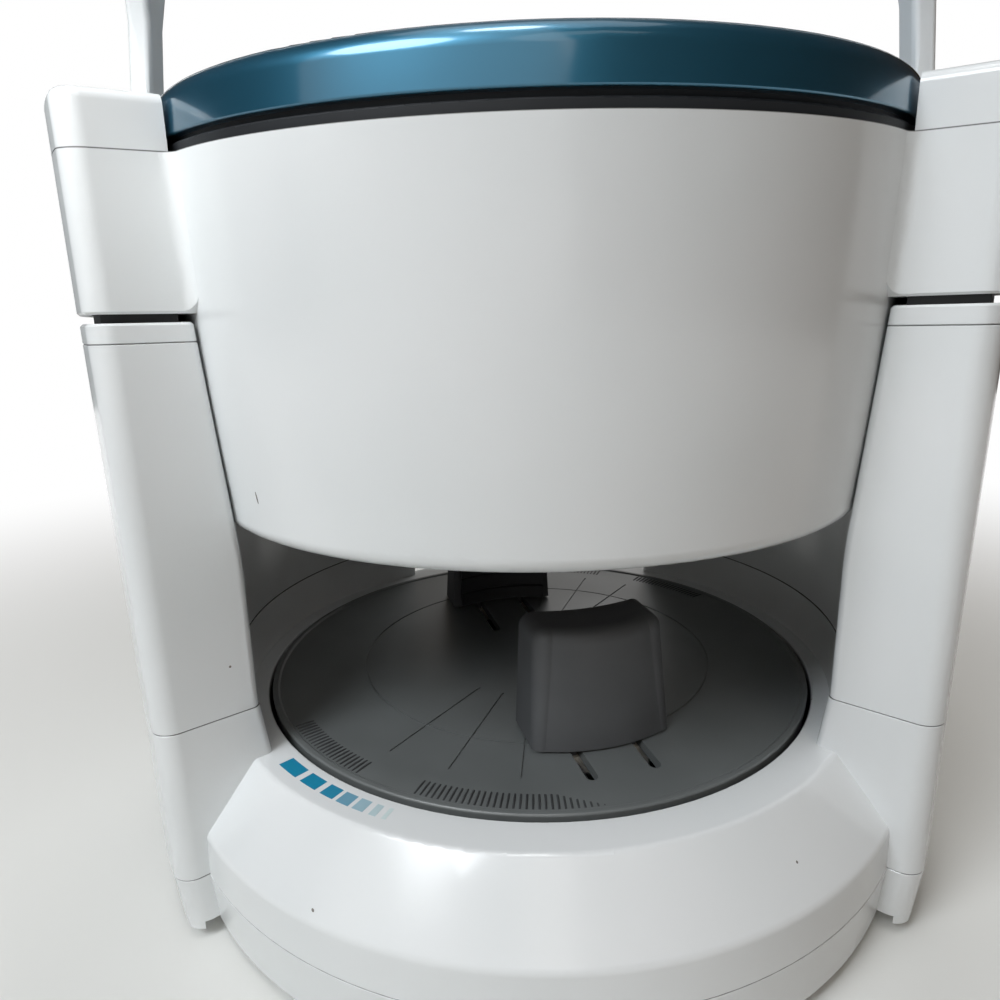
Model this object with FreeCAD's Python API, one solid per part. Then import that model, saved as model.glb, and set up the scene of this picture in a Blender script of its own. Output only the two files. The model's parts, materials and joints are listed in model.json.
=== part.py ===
"""Electric jar opener: a powered turntable with two jar grips in the base, and a head with two
lid grips that slides down two hollow columns on guide rods.

Millimetres.  +Z is up, the user stands at -Y, +X is to the user's right.  The origin is on the
surface that the feet stand on, under the turntable's axis.  Bearings ("az") are degrees from the
front (-Y), turning towards +X.
"""
import FreeCAD
import Part
import math
import os

V = FreeCAD.Vector
UP = V(0, 0, 1)
AXIS = V(0, 0, 0)

# ---- driving dimensions: base and turntable ------------------------------------------------
FEET_H = 2.2             # the pan clears the worktop by this much
PAN_R = 109.3            # drum wall at the pan's seam
PAN_FOOT_R = 107.9       # drum wall at the bottom
PAN_TOP = 18.5           # seam between pan and base shell
SHOULDER_Z = 29.4        # foot of the conical shoulder
RING_Z = 45.0            # flat ring round the turntable
RING_R = 95.0            # its outer edge
RING_ROUND = 2.0
SEAM = 0.25              # chamfer on either side of a parting line
TABLE_R = 84.0
TABLE_TOP = 45.3
TABLE_T = 2.6
RIM_LIP = 0.5            # the turntable's raised edge
TABLE_SKIRT = 6.5
MARK_AZ = (-34.0, -19.5, -4.5)    # radial setting lines moulded in the turntable, also opposite
MARK_FROM, MARK_TO = 31.0, 70.0
MARK_RING_R = 55.5
MARK_W, MARK_DEEP = 0.6, 0.35
WELL_R = 85.0
WELL_FLOOR = 24.0
WALL = 2.4
GROMMET_Z = 12.2         # the cord's way out, at the back

# ---- driving dimensions: columns ------------------------------------------------------------
COLUMN_FRONT = 50.5      # az of the front faces
COLUMN_REAR = 147.0      # az of the rear faces
COLUMN_IN = 92.0         # inner wall
COLUMN_BEND = 97.0       # it leans out above this height, to clear the drum by 0.3 to 0.7
COLUMN_LEAN = 0.0817
COLUMN_OUT = 116.6       # outer wall
FOOT_R = 115.0           # outer wall at the bottom
STUB_TOP = 59.0          # seam between base shell and column shell
COLUMN_TOP = 149.0       # seam between column shell and bezel
BEZEL_TOP = 153.2
SHELF_Z = 113.0          # shelf that holds the lower bushes
SOCKET_LEAN = 2.4        # the inner wall leans in by this towards the ring
OUTER_ROUND = 5.0        # upright corners of the columns
INNER_ROUND = 2.0
WIPER_H = 4.6            # dark wiper on the bezel, inside the sleeve

# ---- driving dimensions: head -----------------------------------------------------------------
LIP_Z = 104.4            # lower lip of the head
LIP_R = 89.0
SLEEVE_Z = 155.0         # lower edge of the sleeves
SLEEVE_OUT = 117.5
DRUM_LOW = (92.4, 108.6)     # the drum's wall is one slightly bowed arc through these
DRUM_MID = (95.6, 148.0)
DRUM_HIGH = (97.3, 206.0)
HEAD_WALL = 2.6
PART_FRONT_Z = 184.0     # parting plane at the front of the drum
PART_TILT = 4.8          # it rises towards the back
RING_H = 3.2             # cover ring between shell and cover
COVER_R = 97.0
COVER_H = 13.2           # top of the cover's rim above the parting plane
COVER_ROUND = 4.5
COVER_DOME = 4.0
CAP_IN = 97.9
CAP_H = 11.0
SLEEVE_BLEND = 3.0       # hollow corner between drum and sleeve

# ---- driving dimensions: grips ------------------------------------------------------------------
GRIP_AZ = 16.0           # bearing of the front grip in the rest pose
GRIP_OUT = 61.2          # outer face at the foot
GRIP_DEPTH = 19.5
GRIP_W = 38.0
GRIP_TOP_W = 35.0
GRIP_TOP = 77.5
GRIP_LEAN = 2.6          # the outer face leans in by this
GRIP_BOW = 3.0           # and bulges by this, so it follows the turntable's edge
GRIP_ROUND = 4.0         # its top edges
GRIP_CLEAR = 0.7         # under the grip
SLOT_AT = 8.3            # guide slots either side of the grip's centre line
SLOT_W = 3.0
SLOT_FROM, SLOT_TO = 18.0, 71.5
ROD_R = 1.5
ROD_Z = 40.0
CARRIAGE_Z = (37.4, 42.4)
RACK_Z = (31.7, 35.6)
GRIP_PINION = (16, 1.0)  # teeth, module

DRIVE_GEAR = (64, 1.5)
DRIVE_PINION = (14, 1.5)
DRIVE_Z = (25.4, 29.6)
LIFT_PINION = (16, 1.0)
LIFT_Z = 128.0           # height of the damper pinions
LIFT_X = 104.0           # racks run at x = +-LIFT_X
GUIDE_R = 4.0
GUIDE_AZ = (66.0, 130.0)
GUIDE_AT = 104.8
BUSH_R = 6.0
BRACKET_Z = 172.0
BRACKET_T = 3.0

LID_PLATE_Z = 158.0
LID_PLATE_T = 3.0
LID_PINION = (20, 1.0)
LID_JAW_IN = 46.0        # inner face of each lid jaw, open
LID_JAW_D = 12.0
LID_JAW_W = 34.0
LID_JAW_LOW = 112.0

# ---- driving dimensions: handle -----------------------------------------------------------------
HANDLE_TOP = 290.0
HANDLE_X = 110.6         # outer face of the legs
HANDLE_BEND = 205.0      # the legs are upright below this height and lean in above it
LEG_LEAN = 5.0
HANDLE_ROUND = 1.8
LEG_W = 6.2
LEG_D = 9.0
CROWN_T = 22.0
CROWN_D = 27.0
WAIST = (232.0, 270.0)   # the legs widen to the crown's depth between these heights
BUTTON_L, BUTTON_W, BUTTON_H = 44.0, 15.0, 3.0
BUTTON_TRAVEL = 2.2
SWITCH_DEEP = 13.0       # depth of the pocket under the button

NODES = {}


# ---- small helpers --------------------------------------------------------------------------------
def at(r, az, z):
    """The point at radius r, bearing az and height z."""
    a = math.radians(az)
    return V(r * math.sin(a), -r * math.cos(a), z)


def outline(points, place):
    """A closed wire through 2-D points (u, v) or (u, v, radius); place(u, v) gives the 3-D point."""
    count = len(points)
    ends = []
    for i, p in enumerate(points):
        u, v = p[0], p[1]
        r = p[2] if len(p) > 2 else 0.0
        if r == 0.0:
            ends.append(((u, v), None, (u, v)))
            continue
        a, b = points[i - 1], points[(i + 1) % count]
        da, db = (a[0] - u, a[1] - v), (b[0] - u, b[1] - v)
        la, lb = math.hypot(*da), math.hypot(*db)
        da, db = (da[0] / la, da[1] / la), (db[0] / lb, db[1] / lb)
        half = math.acos(max(-1.0, min(1.0, da[0] * db[0] + da[1] * db[1]))) / 2
        run = r / math.tan(half)
        mid = (da[0] + db[0], da[1] + db[1])
        lm = math.hypot(*mid)
        reach = r / math.sin(half) - r
        ends.append(((u + da[0] * run, v + da[1] * run),
                     (u + mid[0] / lm * reach, v + mid[1] / lm * reach),
                     (u + db[0] * run, v + db[1] * run)))
    edges = []
    for i, (start, middle, end) in enumerate(ends):
        if middle is not None:
            edges.append(Part.Arc(place(*start), place(*middle), place(*end)).toShape())
        following = ends[(i + 1) % count][0]
        if math.hypot(end[0] - following[0], end[1] - following[1]) > 1e-6:
            edges.append(Part.makeLine(place(*end), place(*following)))
    return Part.Wire(edges)


def turned(points, az0=0.0, az1=360.0):
    """Revolve a profile of (r, z) or (r, z, radius) points about the vertical axis."""
    face = Part.Face(outline(points, lambda r, z: V(r, 0, z)))
    solid = face.revolve(AXIS, UP, az1 - az0)
    solid.rotate(AXIS, UP, az0 - 90)
    return solid


def plate(points, z0, z1):
    """Extrude a plan outline of (x, y) or (x, y, radius) points from z0 to z1."""
    face = Part.Face(outline(points, lambda x, y: V(x, y, z0)))
    return face.extrude(V(0, 0, z1 - z0))


def rod(r, z0, z1, x=0.0, y=0.0):
    return Part.makeCylinder(r, z1 - z0, V(x, y, z0))


def box(x0, x1, y0, y1, z0, z1):
    return Part.makeBox(x1 - x0, y1 - y0, z1 - z0, V(x0, y0, z0))


def tube(r0, r1, z0, z1, x=0.0, y=0.0):
    return rod(r1, z0, z1, x, y).cut(rod(r0, z0 - 1, z1 + 1, x, y))


def spun(shape, az):
    """A copy turned from the front to the bearing az."""
    copy = shape.copy()
    copy.rotate(AXIS, UP, az)
    return copy


def mirrored(shape):
    """The left-hand twin of a right-hand piece."""
    return shape.mirror(AXIS, V(1, 0, 0))


def fillet(shape, radius, test):
    """Round the edges that pass the test; test(edge) gets the edge."""
    edges = [e for e in shape.Edges if test(e)]
    return shape.makeFillet(radius, edges)


def is_vertical(edge, tolerance=0.5):
    a, b = edge.Vertexes[0].Point, edge.Vertexes[-1].Point
    return math.hypot(a.x - b.x, a.y - b.y) < tolerance and abs(a.z - b.z) > 1


def above(height):
    """Everything above the tilted parting plane raised by height, as a big block."""
    block = Part.makeBox(400, 400, 200, V(-200, -200, 0))
    return tilted(block, height)


def tilted(shape, height=0.0):
    """Carry a shape made on z = 0 onto the tilted parting plane, raised by height."""
    shape = shape.copy()
    shape.translate(V(0, 0, height))
    shape.rotate(AXIS, V(1, 0, 0), PART_TILT)
    shape.translate(V(0, 0, PART_FRONT_Z + DRUM_HIGH[0] * math.tan(math.radians(PART_TILT))))
    return shape


def tooth_wire(teeth, module, backlash=0.16, phase=0.0):
    """Plan points of a gear with involute flanks, a tooth centred on the angle phase (degrees)."""
    pitch_r = teeth * module / 2
    base_r = pitch_r * math.cos(math.radians(20))
    tip_r, root_r = pitch_r + 0.9 * module, pitch_r - 1.2 * module
    start_r = max(base_r, root_r + 0.1 * module)
    half = math.pi / (2 * teeth) - backlash / (2 * pitch_r)

    def involute(r):
        angle = math.acos(min(1.0, base_r / r))
        return math.tan(angle) - angle

    flank = []
    for share in (0.0, 0.5, 1.0):
        r = start_r + share * (tip_r - start_r)
        flank.append((r, half + involute(pitch_r) - involute(r)))
    points = []
    for k in range(teeth):
        centre = math.radians(phase) + 2 * math.pi * k / teeth
        polar = [(root_r, centre - flank[0][1])]
        polar += [(r, centre - a) for r, a in flank]
        polar += [(r, centre + a) for r, a in reversed(flank)]
        polar += [(root_r, centre + flank[0][1])]
        points += [(r * math.cos(a), r * math.sin(a)) for r, a in polar]
    return points


def gear(teeth, module, z0, z1, bore, phase=0.0):
    """A spur gear about the vertical axis."""
    return plate(tooth_wire(teeth, module, phase=phase), z0, z1).cut(rod(bore, z0 - 1, z1 + 1))


def rack_points(module, start, count, back, backlash=0.16):
    """Outline (u along, v out) of a rack: teeth stand on v = 0, a tooth centred on start."""
    pitch = math.pi * module
    slope = math.tan(math.radians(20)) * module
    half = pitch / 4 - backlash / 2
    points = [(start - pitch / 2, back), (start - pitch / 2, -1.2 * module)]
    for k in range(count):
        mid = start + k * pitch
        points += [(mid - half - 1.2 * slope, -1.2 * module), (mid - half + 0.9 * slope, 0.9 * module),
                   (mid + half - 0.9 * slope, 0.9 * module), (mid + half + 1.2 * slope, -1.2 * module)]
    last = start + (count - 0.5) * pitch
    return points + [(last, -1.2 * module), (last, back)]


def keep(name, shape):
    NODES[name] = shape


def both(name, shape):
    """Keep a right-hand piece and its mirrored left-hand twin."""
    keep("right_" + name, shape)
    keep("left_" + name, mirrored(shape))


def column_face(z):
    """Inner radius of a column at height z: upright, then leaning out beside the drum."""
    return COLUMN_IN + max(0.0, z - COLUMN_BEND) * COLUMN_LEAN


def chamfer(shape, size, test):
    """Chamfer the edges that pass the test."""
    return shape.makeChamfer(size, [e for e in shape.Edges if test(e)])


def lies_at(z):
    """Test for the edges that lie flat at height z."""
    return lambda e: abs(e.BoundBox.ZMin - z) < 0.01 and abs(e.BoundBox.ZMax - z) < 0.01


def is_corner(low, high):
    """Test for the upright edges whose middle is between two radii."""
    return lambda e: is_vertical(e, 5) and low < math.hypot(e.CenterOfMass.x, e.CenterOfMass.y) < high


def column_block(profile, inset=0.0):
    """A profile turned from the front to the rear face of the right column, its outer corners
    rounded; inset brings both faces in, in mm."""
    turn = math.degrees(inset / GUIDE_AT)
    block = turned(profile, COLUMN_FRONT + turn, COLUMN_REAR - turn)
    return block if inset else fillet(block, OUTER_ROUND, is_corner(112, 120))


# ---- base -------------------------------------------------------------------------------------------
def screw_spots():
    return [at(97.0, az, 0) for az in (0, 40, -40, 165, -165)]


def make_base_pan():
    drum = turned([(0, FEET_H), (PAN_FOOT_R, FEET_H, 2.0), (PAN_R, PAN_TOP - SEAM),
                   (PAN_R - SEAM, PAN_TOP), (0, PAN_TOP)])
    inside = turned([(0, FEET_H + WALL), (PAN_FOOT_R - WALL, FEET_H + WALL, 2.0),
                     (PAN_R - WALL, PAN_TOP + 1), (0, PAN_TOP + 1)])
    low = FEET_H + 1
    foot = column_block([(60, low), (FOOT_R, low), (COLUMN_OUT, PAN_TOP), (60, PAN_TOP)])
    foot = chamfer(foot, SEAM, lies_at(PAN_TOP))
    foot = foot.cut(turned([(FOOT_R - 12, low - 1), (FOOT_R - 3, low - 1), (FOOT_R - 3, low + 2.2),
                            (FOOT_R - 12, low + 2.2)], COLUMN_FRONT - 1, COLUMN_FRONT + 3))
    inner = column_block([(62, low + 2 * WALL), (FOOT_R - WALL, low + 2 * WALL),
                          (COLUMN_OUT - WALL, PAN_TOP + 1), (62, PAN_TOP + 1)], 2.6)
    pan = drum.fuse([foot, mirrored(foot)]).cut([inside, inner, mirrored(inner)])
    bosses = [rod(4.5, FEET_H + 1, PAN_TOP, p.x, p.y) for p in screw_spots()]
    pan = pan.fuse(bosses)
    for p in screw_spots():
        pan = pan.cut(rod(1.9, 0, PAN_TOP + 1, p.x, p.y)).cut(rod(3.4, 0, PAN_TOP - 8, p.x, p.y))
    for x, y in foot_spots():
        pan = pan.cut(rod(8.3, FEET_H - 1, FEET_H + 0.8, x, y))
    grommet_hole = Part.makeCylinder(5.0, 12, V(0, 100, GROMMET_Z), V(0, 1, 0))
    keep("base_pan", pan.cut(grommet_hole).removeSplitter())


def foot_spots():
    return [(x, y) for x in (-70.0, 70.0) for y in (-62.0, 62.0)]


def make_feet():
    pads = [turned([(0, 0), (7.4, 0, 0.8), (8.2, FEET_H + 0.8), (0, FEET_H + 0.8)]) for _ in range(4)]
    for pad, (x, y) in zip(pads, foot_spots()):
        pad.translate(V(x, y, 0))
    keep("rubber_feet", Part.makeCompound(pads))


def socket_block():
    """Outer shape of the socket that carries the right column."""
    inner = COLUMN_IN - SOCKET_LEAN - 0.3
    block = column_block([(inner, PAN_TOP), (COLUMN_OUT, PAN_TOP), (COLUMN_OUT, STUB_TOP),
                          (COLUMN_IN - 0.3, STUB_TOP), (inner, RING_Z - 5)])
    block = fillet(block, INNER_ROUND, is_corner(88, 93))
    return chamfer(block, SEAM, lambda e: lies_at(STUB_TOP)(e) or lies_at(PAN_TOP)(e))


def make_base_shell():
    ring = turned([(WELL_R, RING_Z - WALL), (RING_R - 1.2, RING_Z - WALL),
                   (PAN_R - WALL - 0.6, SHOULDER_Z - 1.6), (PAN_R - WALL, PAN_TOP), (PAN_R - SEAM, PAN_TOP),
                   (PAN_R, PAN_TOP + SEAM), (PAN_R - 0.4, SHOULDER_Z, 3.0), (RING_R, RING_Z, RING_ROUND),
                   (WELL_R, RING_Z, 0.6)])
    socket = socket_block()
    shell = ring.cut([socket, mirrored(socket)])
    for p in screw_spots():
        post = rod(4.2, PAN_TOP, SHOULDER_Z + 5.6, p.x, p.y)
        shell = shell.fuse(post).cut(rod(1.4, PAN_TOP - 1, PAN_TOP + 12, p.x, p.y))
    keep("base_shell", shell.removeSplitter())
    inner = COLUMN_IN - SOCKET_LEAN
    hollow = column_block([(inner + 2.1, PAN_TOP - 1), (COLUMN_OUT - WALL, PAN_TOP - 1),
                           (COLUMN_OUT - WALL, STUB_TOP + 1), (COLUMN_IN + 2.2, STUB_TOP + 1),
                           (inner + 2.1, RING_Z - 5)], 2.6)
    both("column_socket", socket.cut(hollow))
    well = turned([(5.2, WELL_FLOOR - 2.2), (WELL_R + 2.2, WELL_FLOOR - 2.2), (WELL_R + 2.2, RING_Z - WALL),
                   (WELL_R, RING_Z - WALL), (WELL_R, WELL_FLOOR), (5.2, WELL_FLOOR)])
    keep("turntable_well", well.cut(rod(3.2, 15, 30, 0, drive_distance())))


def drive_distance():
    return (DRIVE_GEAR[0] * DRIVE_GEAR[1] + DRIVE_PINION[0] * DRIVE_PINION[1]) / 2


def make_columns():
    out_low, out_high = COLUMN_OUT, COLUMN_OUT + 0.7
    shell = column_block([(COLUMN_IN, STUB_TOP), (out_low, STUB_TOP), (out_high, COLUMN_TOP),
                          (column_face(COLUMN_TOP), COLUMN_TOP), (COLUMN_IN, COLUMN_BEND, 120)])
    shell = fillet(shell, INNER_ROUND, is_corner(88, 98))
    shell = chamfer(shell, SEAM, lambda e: lies_at(STUB_TOP)(e) or lies_at(COLUMN_TOP)(e))
    over = COLUMN_TOP + 1
    hollow = column_block([(COLUMN_IN + WALL, STUB_TOP - 1), (out_low - WALL, STUB_TOP - 1),
                           (out_high - WALL, over), (column_face(over) + WALL, over),
                           (COLUMN_IN + WALL, COLUMN_BEND)], 2.6)
    shelf = column_block([(COLUMN_IN + 3, SHELF_Z), (out_low - 1, SHELF_Z), (out_low - 1, SHELF_Z + 3),
                          (COLUMN_IN + 3, SHELF_Z + 3)], 1.8)
    shell = shell.cut(hollow).fuse(shelf)
    shell = shell.cut(box(LIFT_X - 5, LIFT_X + 5, -8, 24, SHELF_Z - 1, SHELF_Z + 4))
    spots = [at(GUIDE_AT, az, 0) for az in GUIDE_AZ]
    shell = shell.cut([rod(BUSH_R, SHELF_Z - 1, SHELF_Z + 4, p.x, p.y) for p in spots])
    axle_boss = Part.makeCylinder(4.0, 2.2, V(damper_x() + 5.6, lift_y(), LIFT_Z), V(1, 0, 0))
    both("column_shell", shell.fuse(axle_boss).removeSplitter())

    bezel = column_block([(column_face(COLUMN_TOP), COLUMN_TOP), (out_high, COLUMN_TOP),
                          (out_high, BEZEL_TOP), (column_face(BEZEL_TOP), BEZEL_TOP)])
    bezel = fillet(bezel, INNER_ROUND, is_corner(88, 98))
    bezel = chamfer(bezel, SEAM, lies_at(COLUMN_TOP))
    bezel = chamfer(bezel, 2 * SEAM, lies_at(BEZEL_TOP))
    bezel = bezel.cut(box(LIFT_X - 4, LIFT_X + 4, -6, 7, COLUMN_TOP - 1, BEZEL_TOP + 1))
    both("column_bezel", bezel.cut([rod(BUSH_R, COLUMN_TOP - 1, BEZEL_TOP + 1, p.x, p.y) for p in spots]))

    inner, outer = DRUM_HIGH[0] + 2.0, SLEEVE_OUT - HEAD_WALL - 0.5
    wiper = column_block([(inner, BEZEL_TOP), (outer, BEZEL_TOP), (outer, BEZEL_TOP + WIPER_H),
                          (inner, BEZEL_TOP + WIPER_H)], HEAD_WALL + 0.6)
    wiper = wiper.cut(box(LIFT_X - 4, LIFT_X + 4, -6, 7, BEZEL_TOP - 1, BEZEL_TOP + WIPER_H + 1))
    holes = [rod(GUIDE_R + 0.3, BEZEL_TOP - 1, BEZEL_TOP + WIPER_H + 1, p.x, p.y) for p in spots]
    both("column_wiper", wiper.cut(holes))

    bushes = [tube(GUIDE_R + 0.05, BUSH_R, z0, z0 + 9, p.x, p.y)
              for p in spots for z0 in (BEZEL_TOP - 9, SHELF_Z - 4)]
    both("guide_bushes", Part.makeCompound(bushes))


def make_bearing():
    keep("thrust_washer", tube(9.0, 22.0, WELL_FLOOR, DRIVE_Z[0]))
    post = turned([(0, WELL_FLOOR - 5), (9.0, WELL_FLOOR - 5), (9.0, WELL_FLOOR - 2.2), (5.2, WELL_FLOOR - 2.2),
                   (5.2, WELL_FLOOR), (5.0, WELL_FLOOR), (5.0, RACK_Z[0] - 1, 0.6), (0, RACK_Z[0] - 1)])
    keep("centre_post", post)


def make_drive_motor():
    y = drive_distance()
    can = turned([(0, FEET_H + WALL + 0.2), (17.5, FEET_H + WALL + 0.2, 1.5), (17.5, WELL_FLOOR - 2.2),
                  (0, WELL_FLOOR - 2.2)])
    boss = rod(3.0, WELL_FLOOR - 2.2, WELL_FLOOR - 0.2)
    shaft = rod(1.6, WELL_FLOOR - 0.2, DRIVE_Z[1] + 0.4)
    motor = can.fuse([boss, shaft])
    motor.translate(V(0, y, 0))
    keep("drive_motor", motor)
    half_tooth = 180 / DRIVE_PINION[0]
    pinion = gear(*DRIVE_PINION, DRIVE_Z[0], DRIVE_Z[1], 1.65, phase=-90 + half_tooth)
    pinion.translate(V(0, y, 0))
    keep("motor_pinion", pinion)


def make_control_board():
    board = box(-34, 34, -60, -22, 11.0, 12.6)
    standoffs = [rod(2.5, FEET_H + WALL, 11.0, x, y) for x in (-30, 30) for y in (-56, -26)]
    parts = [box(-28, -12, -52, -34, 12.6, 19.5), rod(5, 12.6, 19.0, -2, -44), rod(4, 12.6, 18.0, 10, -44),
             box(16, 30, -54, -40, 12.6, 17.5), box(-8, 14, -33, -27, 12.6, 17.0)]
    keep("control_board", board.fuse(standoffs + parts))


def make_grommet():
    profile = [(2.6, 0), (6.6, 0), (6.6, 2.0), (5.0, 2.0), (5.0, 5.2), (2.6, 5.2)]
    grommet = turned(profile)
    grommet.rotate(AXIS, V(1, 0, 0), -90)
    grommet.translate(V(0, PAN_R - 6.2, GROMMET_Z))
    keep("cord_grommet", grommet)


def make_pan_screws():
    screws = []
    for p in screw_spots():
        z0 = PAN_TOP - 8
        screws.append(rod(3.0, z0 - 2.2, z0, p.x, p.y).fuse(rod(1.4, z0, PAN_TOP + 9, p.x, p.y)))
    keep("pan_screws", Part.makeCompound(screws))


# ---- turntable and jar grips ----------------------------------------------------------------------
def make_turntable():
    low = TABLE_TOP - TABLE_T
    rim = TABLE_TOP + RIM_LIP
    disc = turned([(0, low), (TABLE_R - 3, low), (TABLE_R - 3, TABLE_TOP - TABLE_SKIRT - 1.5),
                   (TABLE_R - 0.8, TABLE_TOP - TABLE_SKIRT - 1.5), (TABLE_R, rim, 0.6),
                   (TABLE_R - 1.6, rim, 0.4), (TABLE_R - 2.2, TABLE_TOP), (0, TABLE_TOP)])
    pillars = [rod(4.5, DRIVE_Z[1], low, x, 0) for x in (-26, 26)]
    pillars += [rod(4.5, DRIVE_Z[1], low, x, y) for x in (-26, 26) for y in (-22, 22)]
    axle = rod(2.5, RACK_Z[0] - 0.4, low)
    lugs = []
    for side in (-1, 1):
        lugs.append(box(-SLOT_AT - 4, SLOT_AT + 4, side * 75 - 2.5, side * 75 + 2.5, ROD_Z - 2.4, low))
        lugs.append(box(-SLOT_AT - 4, SLOT_AT + 4, side * 14 - 2, side * 14 + 2, ROD_Z - 2.4, low))
    table = disc.fuse(pillars + [axle] + lugs)
    for side in (-1, 1):
        for x in (-SLOT_AT, SLOT_AT):
            y0, y1 = sorted((side * SLOT_FROM, side * SLOT_TO))
            end = SLOT_W / 2 - 0.01
            slot = plate([(x - SLOT_W / 2, y0, end), (x + SLOT_W / 2, y0, end),
                          (x + SLOT_W / 2, y1, end), (x - SLOT_W / 2, y1, end)], low - 1, TABLE_TOP + 1)
            table = table.cut(slot)
    table = table.cut([guide_rod(x, side) for side in (-1, 1) for x in (-SLOT_AT, SLOT_AT)])
    for x in (-26, 26):
        for y in (-22, 22):
            table = table.cut(rod(1.2, DRIVE_Z[1] - 1, low - 2, x, y))
    table = spun(table.removeSplitter(), GRIP_AZ)
    mark = MARK_W / 2
    table = table.cut(turned([(MARK_RING_R - mark, TABLE_TOP + 1), (MARK_RING_R - mark, TABLE_TOP - MARK_DEEP),
                              (MARK_RING_R + mark, TABLE_TOP - MARK_DEEP), (MARK_RING_R + mark, TABLE_TOP + 1)]))
    for az in MARK_AZ + tuple(az + 180 for az in MARK_AZ):
        line = box(-mark, mark, -MARK_TO, -MARK_FROM, TABLE_TOP - MARK_DEEP, TABLE_TOP + 1)
        table = table.cut(spun(line, az))
    keep("turntable", table)
    rods = [guide_rod(x, side) for side in (-1, 1) for x in (-SLOT_AT, SLOT_AT)]
    keep("grip_guide_rods", spun(Part.makeCompound(rods), GRIP_AZ))

    wheel = gear(*DRIVE_GEAR, DRIVE_Z[0], DRIVE_Z[1], 5.06)
    wheel.rotate(AXIS, UP, 90 - GRIP_AZ)
    wheel = wheel.cut(turned([(14, DRIVE_Z[0] + 1.4), (18, DRIVE_Z[0] + 1.4), (18, DRIVE_Z[1] + 1),
                              (14, DRIVE_Z[1] + 1)]))
    screws = []
    for x in (-26, 26):
        for y in (-22, 22):
            wheel = wheel.cut(rod(1.5, DRIVE_Z[0] - 1, DRIVE_Z[1] + 1, x, y))
            wheel = wheel.cut(rod(2.8, DRIVE_Z[0] - 1, DRIVE_Z[0] + 2.0, x, y))
            screws.append(rod(2.5, DRIVE_Z[0] + 0.2, DRIVE_Z[0] + 2.0, x, y).fuse(
                rod(1.2, DRIVE_Z[0] + 2.0, DRIVE_Z[1] + 7, x, y)))
    keep("drive_gear", spun(wheel, GRIP_AZ))
    keep("gear_screws", spun(Part.makeCompound(screws), GRIP_AZ))


def guide_rod(x, side):
    """One steel rod under a slot, from the inner lug to the outer one."""
    y0, y1 = sorted((side * 12.5, side * 77.0))
    return Part.makeCylinder(ROD_R, y1 - y0, V(x, y0, ROD_Z), V(0, 1, 0))


def grip_outline(half, outer, corner, z):
    """Plan of the jar grip at height z: straight inner corners, rounded outer ones, bowed face."""
    inner = GRIP_OUT - GRIP_DEPTH
    side = outer - GRIP_BOW
    edges = [Part.makeLine(V(-half, -inner, z), V(-half, -side + corner, z))]
    chord = corner * (1 - math.sqrt(0.5))
    start, end = V(-half + corner, -side, z), V(half - corner, -side, z)
    edges.append(Part.Arc(V(-half, -side + corner, z), V(-half + chord, -side + chord, z), start).toShape())
    edges.append(Part.Arc(start, V(0, -outer, z), end).toShape())
    edges.append(Part.Arc(end, V(half - chord, -side + chord, z), V(half, -side + corner, z)).toShape())
    edges.append(Part.makeLine(V(half, -side + corner, z), V(half, -inner, z)))
    edges.append(Part.makeLine(V(half, -inner, z), V(-half, -inner, z)))
    return Part.Wire(edges)


def grip_block():
    """The jar grip at the front of the turntable: a leaning, bowed block with a soft top."""
    inner = GRIP_OUT - GRIP_DEPTH
    foot = TABLE_TOP + GRIP_CLEAR
    low = grip_outline(GRIP_W / 2, GRIP_OUT, 3.0, foot)
    high = grip_outline(GRIP_TOP_W / 2, GRIP_OUT - GRIP_LEAN, GRIP_ROUND + 0.7, GRIP_TOP)
    block = Part.makeLoft([low, high], True, True)
    block = fillet(block, GRIP_ROUND, lambda e: lies_at(GRIP_TOP)(e) and e.CenterOfMass.y < -inner - 1)
    block = block.cut(pad_seat())
    blades = [box(x - 1.15, x + 1.15, -inner - 15, -inner - 5, CARRIAGE_Z[1], foot)
              for x in (-SLOT_AT, SLOT_AT)]
    return block.fuse(blades)


def pad_seat():
    """The round hollow in the grip's inner face, as a cylinder of the largest jar's radius."""
    return rod(GRIP_OUT - GRIP_DEPTH + 3.0, TABLE_TOP, GRIP_TOP + 5)


def grip_pad():
    """Ribbed rubber lining of the hollow."""
    inner = GRIP_OUT - GRIP_DEPTH
    band = tube(inner + 0.6, inner + 3.0, TABLE_TOP + 2, GRIP_TOP - 4)
    band = band.common(box(-GRIP_TOP_W / 2 + 1.5, GRIP_TOP_W / 2 - 1.5, -inner - 6, 0, TABLE_TOP, GRIP_TOP))
    grooves = [turned([(inner, z), (inner + 1.4, z + 0.8), (inner, z + 1.6)]) for z in range(51, 78, 6)]
    return band.cut(grooves)


def grip_carriage():
    """The slide under the turntable, with its rack reaching past the pinion."""
    inner = GRIP_OUT - GRIP_DEPTH
    mid = inner + 10
    block = box(-13, 13, -mid - 6, -mid + 6, CARRIAGE_Z[0], CARRIAGE_Z[1])
    for x in (-SLOT_AT, SLOT_AT):
        block = block.cut(Part.makeCylinder(ROD_R + 0.05, 40, V(x, -mid - 20, ROD_Z), V(0, 1, 0)))
    teeth, module = GRIP_PINION
    pitch_r = teeth * module / 2
    pitch = math.pi * module
    first = -6.5 * pitch
    bar = rack_points(module, first, 20, -5.2)
    place = lambda u, v: V(pitch_r - v, -u, RACK_Z[0])
    bar = Part.Face(outline(bar, place)).extrude(V(0, 0, RACK_Z[1] - RACK_Z[0]))
    reach = first + 19.5 * pitch
    arm = box(pitch_r + 1.2, pitch_r + 5.2, -mid - 6, -reach, RACK_Z[0], RACK_Z[1])
    neck = box(pitch_r + 1.2, 13, -mid - 6, -mid + 6, RACK_Z[0], CARRIAGE_Z[0])
    return block.fuse([bar, arm, neck])


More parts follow.
